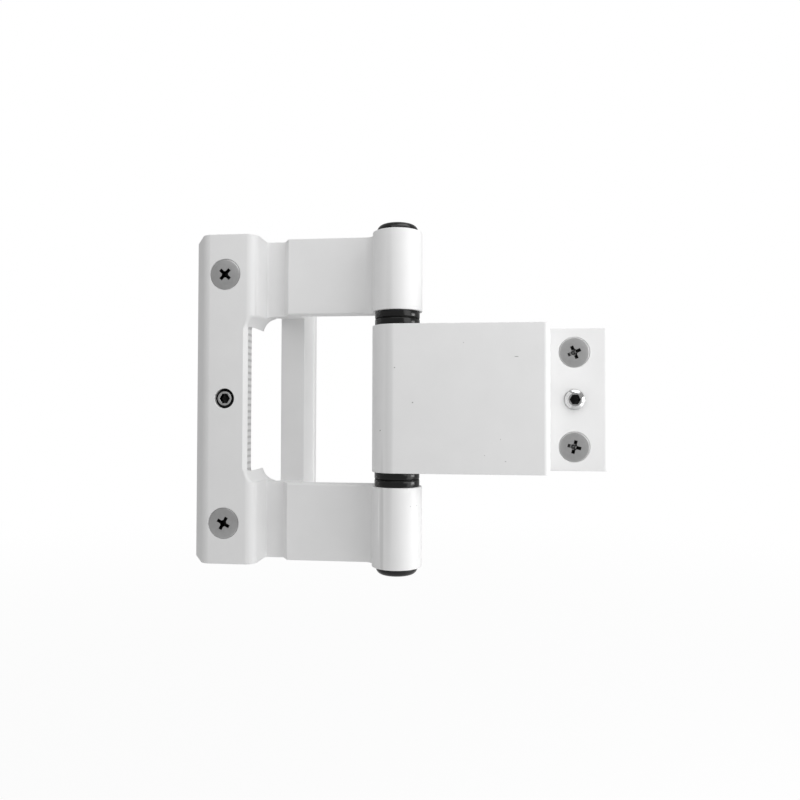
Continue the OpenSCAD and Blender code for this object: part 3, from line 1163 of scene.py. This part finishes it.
@dataclass(frozen=True)
class FixingScrew:
    """A countersunk screw with a cross recess, modelled along Z with its head's top at zero.

    Its head's rounded edge is given by how far each ring lies inside the rim and under the top.
    The recess has blades of a span and a width that taper to a foot, and a round middle.
    """

    length: float
    neck_end: float
    bright_foot: bool = False
    head_r: float = 4.6
    head_edge: tuple[tuple[float, float], ...] = ((0.34, 0), (0.16, 0.03), (0.05, 0.1), (0, 0.2))
    land: float = 0.3
    neck_r: float = 2.2
    core_r: float = 2.05
    thread_r: float = 2.5
    pitch: float = 0.8
    tip: float = 0.8
    point_cut: float = 0.6
    runout: float = 0.15
    span: float = 4.5
    wing: float = 1.05
    wing_taper: float = 0.8
    foot: float = 1.9
    depth: float = 2.5
    core_r_top: float = 1.045
    core_r_low: float = 0.665
    core_r_point: float = 0.19
    point_depth: float = 0.3
    recess_r: float = 2.3

    def recess(self, screw: bpy.types.Object) -> None:
        """Press the cross recess: two tapered blades and a round middle.

        Args:
            screw: The screw's blank.
        """
        above = 0.4
        for quarter in (0, 90):
            bpy.ops.object.select_all(action="DESELECT")
            bpy.ops.mesh.primitive_cube_add(
                size=MM, location=(0, 0, (self.depth - above) / 2 * MM),
                scale=(self.span, self.wing, self.depth + above),
            )
            blade = bpy.context.object
            bpy.ops.object.transform_apply(location=True, scale=True)
            pick_faces(blade, lambda centre, normal: normal.z > 0.9)
            bpy.ops.transform.resize(
                value=(self.foot / self.span, self.wing_taper, 1),
                center_override=(0, 0, self.depth * MM),
            )
            bpy.ops.object.mode_set(mode="OBJECT")
            blade.rotation_euler.z = math.radians(quarter)
            carve(screw, blade)
        core = turned(
            "recess_core",
            [(self.core_r_top, -above), (self.core_r_low, self.depth),
             (self.core_r_point, self.depth + self.point_depth)],
            sides=24,
        )
        carve(screw, core)

    def model(self, name: str) -> bpy.types.Object:
        """Head, neck, thread and recess in one piece.

        Args:
            name: The piece's name.

        Returns:
            The screw, along Z.
        """
        cone_end = self.land + self.head_r - self.neck_r
        rings = [
            *((self.head_r - inside, under) for inside, under in self.head_edge),
            (self.head_r, self.land), (self.neck_r, cone_end), (self.neck_r, self.neck_end),
            (self.core_r, self.neck_end + self.runout), (self.core_r, self.length - self.tip),
            (self.core_r - self.point_cut, self.length),
        ]
        screw = turned(name, rings)
        self.recess(screw)
        threaded(
            screw, self.core_r, self.thread_r, self.pitch, self.neck_end + 2 * self.runout,
            self.length - self.tip + 0.1,
        )
        # The painted shade ends just above the recess's foot, or past its point.
        top, foot = 0.01, self.depth + (-0.05 if self.bright_foot else 0.4)
        for face in screw.data.polygons:
            centre = face.center / MM
            face.material_index = int(top < centre.z < foot and centre.xy.length < self.recess_r)
        return screw

    def build(
        self,
        places: dict[str, tuple[tuple[float, float, float], float]],
        body: Body,
        zinc: bpy.types.Material,
        painted_shade: bpy.types.Material,
    ) -> None:
        """Model the screw once and drive a copy into each hole.

        Args:
            places: Head centre and turn of each recess, in degrees, by the solid's name.
            body: The body that they move with.
            zinc: Their finish.
            painted_shade: Painted shade inside their recess, as a near-black finish.
        """
        model = self.model("fixing_screw_model")
        for node, (spot, turn) in places.items():
            piece = copied(model, f"{node}_threaded")
            place(piece, (0, 0, 0), Euler((0, 0, -math.radians(turn))))
            place(piece, spot, Euler((-math.radians(90), 0, 0)))
            hand_over(piece, node, body, [zinc, painted_shade], 30)
        bpy.data.objects.remove(model)


@dataclass(frozen=True)
class SocketScrew:
    """A headless screw with a hexagon socket, modelled along Z with its socket's end at zero."""

    node: str
    body: Body
    spot: tuple[float, float, float]
    turn: tuple[float, float, float]
    length: float
    thread_r: float
    core_r: float
    pitch: float
    socket: float
    socket_depth: float
    cup: float
    # Whether the thread, down in its hole, also takes the painted shade.
    dark_thread: bool = False
    end_cut: float = 0.3
    key_edge: float = 1.06

    @property
    def key_r(self) -> float:
        """Give the radius of the socket's corners."""
        return self.socket / 2 / math.cos(math.pi / 6)

    def is_dark(self, centre: Vector) -> bool:
        """Tell whether a face takes painted shade: in the socket, and on the thread if dark_thread
        is set.

        Args:
            centre: The face's centre, in millimetres.

        Returns:
            Whether it takes the painted shade.
        """
        mouth, cup_rim, end_face, root = 0.17, 0.2, 0.02, 0.33
        radius = centre.xy.length
        if radius < self.key_r:
            return mouth < centre.z < self.length - self.cup - cup_rim
        return self.dark_thread and centre.z > end_face and radius > self.core_r - root

    def build(self, steel: bpy.types.Material, painted_shade: bpy.types.Material) -> None:
        """Turn the blank, press the socket, sink the cup point and cut the thread.

        Args:
            steel: Its finish.
            painted_shade: Painted shade inside its socket and on a darkened thread, as a
                near-black finish.
        """
        end_r, rim, rim_z, shoulder, point = self.core_r - self.end_cut, 0.06, 0.05, 0.35, 0.4
        screw = turned(
            f"{self.node}_threaded",
            [(end_r - rim, 0), (end_r, rim_z), (self.core_r, shoulder),
             (self.core_r, self.length - point), (end_r, self.length)],
            sides=72,
        )
        pick_faces(screw, lambda centre, normal: centre.z > self.length - 0.01)
        for share in (0.2, 0.3):
            bpy.ops.mesh.inset(thickness=share * self.core_r * MM)
        bpy.ops.transform.translate(value=(0, 0, -self.cup * MM))
        bpy.ops.object.mode_set(mode="OBJECT")
        key_r, above, flare_z, full_z = self.key_r, 0.3, 0.06, 0.16
        drill_r, drill_depth = 0.3 * key_r, 0.35 * key_r
        key = turned(
            "socket_key",
            [(key_r * self.key_edge, -above), (key_r * self.key_edge, flare_z), (key_r, full_z),
             (key_r, self.socket_depth), (drill_r, self.socket_depth + drill_depth)],
            sides=6,
        )
        place(key, (0, 0, 0), Euler((0, 0, math.radians(90))))
        carve(screw, key)
        margin = 0.25
        threaded(
            screw, self.core_r, self.thread_r, self.pitch, margin, self.length - margin
        )
        for face in screw.data.polygons:
            face.material_index = int(self.is_dark(face.center / MM))
        place(screw, self.spot, Euler([math.radians(angle) for angle in self.turn]))
        hand_over(screw, self.node, self.body, [steel, painted_shade], 30)


FAINT = "#BEBEBE"
DUST = (
    Mark((84.29, -19.7, -17.98), (0.30, 0.4, 0.16), FAINT),
    Mark((72.31, -19.7, 16.09), (0.20, 0.4, 0.16), FAINT),
    Mark((78.34, -19.7, -16.33), (0.17, 0.4, 0.17), FAINT),
    Mark((82.87, -19.7, -11.72), (0.14, 0.4, 0.22), FAINT),
    Mark((87.38, -19.7, 11.97), (0.75, 0.4, 0.10)),
    Mark((52.34, -19.7, 8.97), (0.22, 0.4, 0.18)),
    Mark((57.63, -19.7, -1.20), (0.25, 0.4, 0.20)),
    Mark((47.99, -18.34, -9.39), (0.18, 0.4, 0.24)),
    Mark((56.97, -18.07, -31.47), (0.20, 0.4, 0.16), FAINT),
    Mark((58.57, -16.31, -31.39), (0.18, 0.5, 0.14), FAINT),
)
# Marks on the knuckles: a thin lighter streak and a darker band down the lower knuckle's left
# side, and a band of painted shade.
KNUCKLE_STREAKS_AND_PAINTED_SHADE = (
    Mark((47.55, -18.00, -35.0), (0.28, 0.4, 9.0), "#FAFAFA"),
    Mark((48.60, -18.72, -38.0), (0.75, 1.2, 26.0), "#DCDCDC"),
    # Painted shade: a darker band, 3 mm wide, down the knuckles' front just left of the pin's
    # axis, where the barrel turns away from the light.
    Mark((50.70, -19.40, 0.0), (1.50, 1.5, 60.0), "#E2E2E2"),
)


def main() -> None:
    """Build the studio, the leaves, the pin's pieces and the screws, in that order."""
    Studio().build()
    coat, milled = PowderCoat(marks=DUST + KNUCKLE_STREAKS_AND_PAINTED_SHADE).material(), MilledCoat().material()
    nylon, zinc, pin = (f.material() for f in (MouldedNylon(), PlatedSteel(), GroundSteel()))
    dark = PlatedSteel("black_passivated_steel", "#5A5A5A", "#777777", 0.3).material()
    # Painted shade: a near-black copy of the zinc for the screws' recesses and sockets and the
    # left set screw's thread, where shade falls.
    painted_shade = PlatedSteel("recess_painted_shade", "#1A1A1A", "#363636", 0.38).material()
    bright = PlatedSteel(
        "bright_zinc_plated_steel", "#BEBEBE", "#CECECE", 0.16, dent_height=0.004
    ).material()
    blackened = PlatedSteel("blackened_spring_steel", "#1C1C1C", "#2A2A2A", 0.4).material()
    Leaf("left_leaf", Body.FIXED, Window(edge_x=7.0, half=26.15)).build(coat, milled)
    Leaf("right_leaf", Body.MOVING).build(coat, milled)
    PinJoint().build(pin, nylon, blackened)
    FixingScrew(length=30.0, neck_end=4.2).build(
        {
            "upper_left_screw": ((0, -16.6, 37.75), 47),
            "lower_left_screw": ((0, -16.6, -37.75), 61),
        },
        Body.FIXED, zinc, painted_shade,
    )
    FixingScrew(length=16.0, neck_end=3.0, bright_foot=True).build(
        {
            "upper_right_screw": ((105.8, -3, 14.5), 24),
            "lower_right_screw": ((105.8, -3, -14.5), 76),
        },
        Body.MOVING, zinc, painted_shade,
    )
    SocketScrew(
        "left_set_screw", Body.FIXED, (0, -16.3, 0), (-90, 0, 0), length=12.0, thread_r=2.99,
        core_r=2.42, pitch=1.0, socket=2.8, socket_depth=2.4, cup=0.9, dark_thread=True,
    ).build(zinc, painted_shade)
    SocketScrew(
        "right_set_screw", Body.MOVING, (105.8, -5.0, 0), (-90, 0, 0), length=5.0, thread_r=2.99,
        core_r=2.42, pitch=1.0, socket=2.8, socket_depth=2.4, cup=0.7,
    ).build(bright, painted_shade)
    SocketScrew(
        "pin_grub_screw", Body.FIXED, (AXIS[0], -5.0, 37.975), (90, 0, 0), length=3.15,
        thread_r=1.99, core_r=1.6, pitch=0.7, socket=2.0, socket_depth=1.5, cup=0.3,
    ).build(dark, painted_shade)


if __name__ == "__main__":
    logging.basicConfig(level=logging.INFO)
    main()
